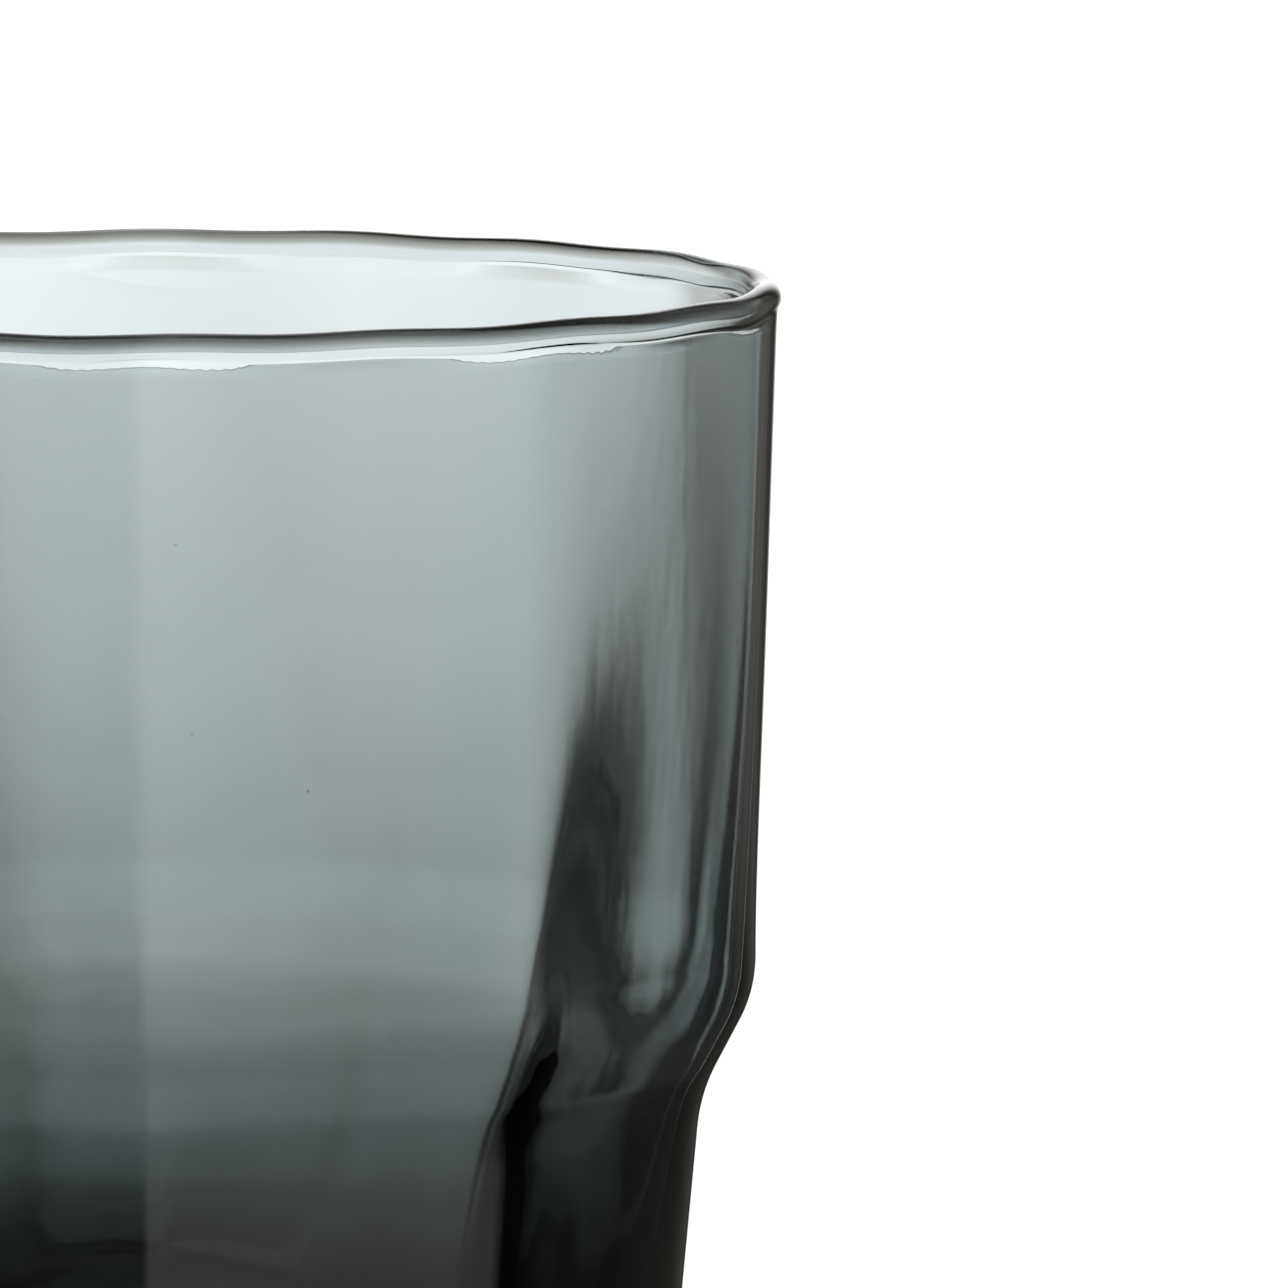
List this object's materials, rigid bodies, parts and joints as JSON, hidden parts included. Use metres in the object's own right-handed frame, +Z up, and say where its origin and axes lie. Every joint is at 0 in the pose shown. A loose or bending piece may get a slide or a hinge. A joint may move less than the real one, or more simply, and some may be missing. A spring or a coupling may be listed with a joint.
{
  "type": "whiskey tumbler",
  "caption": "Stackable smoke-grey glass tumbler with softly panelled walls, a stepped shoulder, a thick base and a rounded, fire-polished rim.",
  "frame": {"origin": "centre of the face that the tumbler stands on", "axes": "+Z up along the tumbler's axis; one ridge between two panels points along -Y"},
  "size_m": [0.0854, 0.0854, 0.09],
  "materials": {
    "smoke_glass": "clear smoke-grey glass, fire-polished"
  },
  "bodies": {
    "root": {"tumbler_glass": "smoke_glass"}
  },
  "joints": []
}
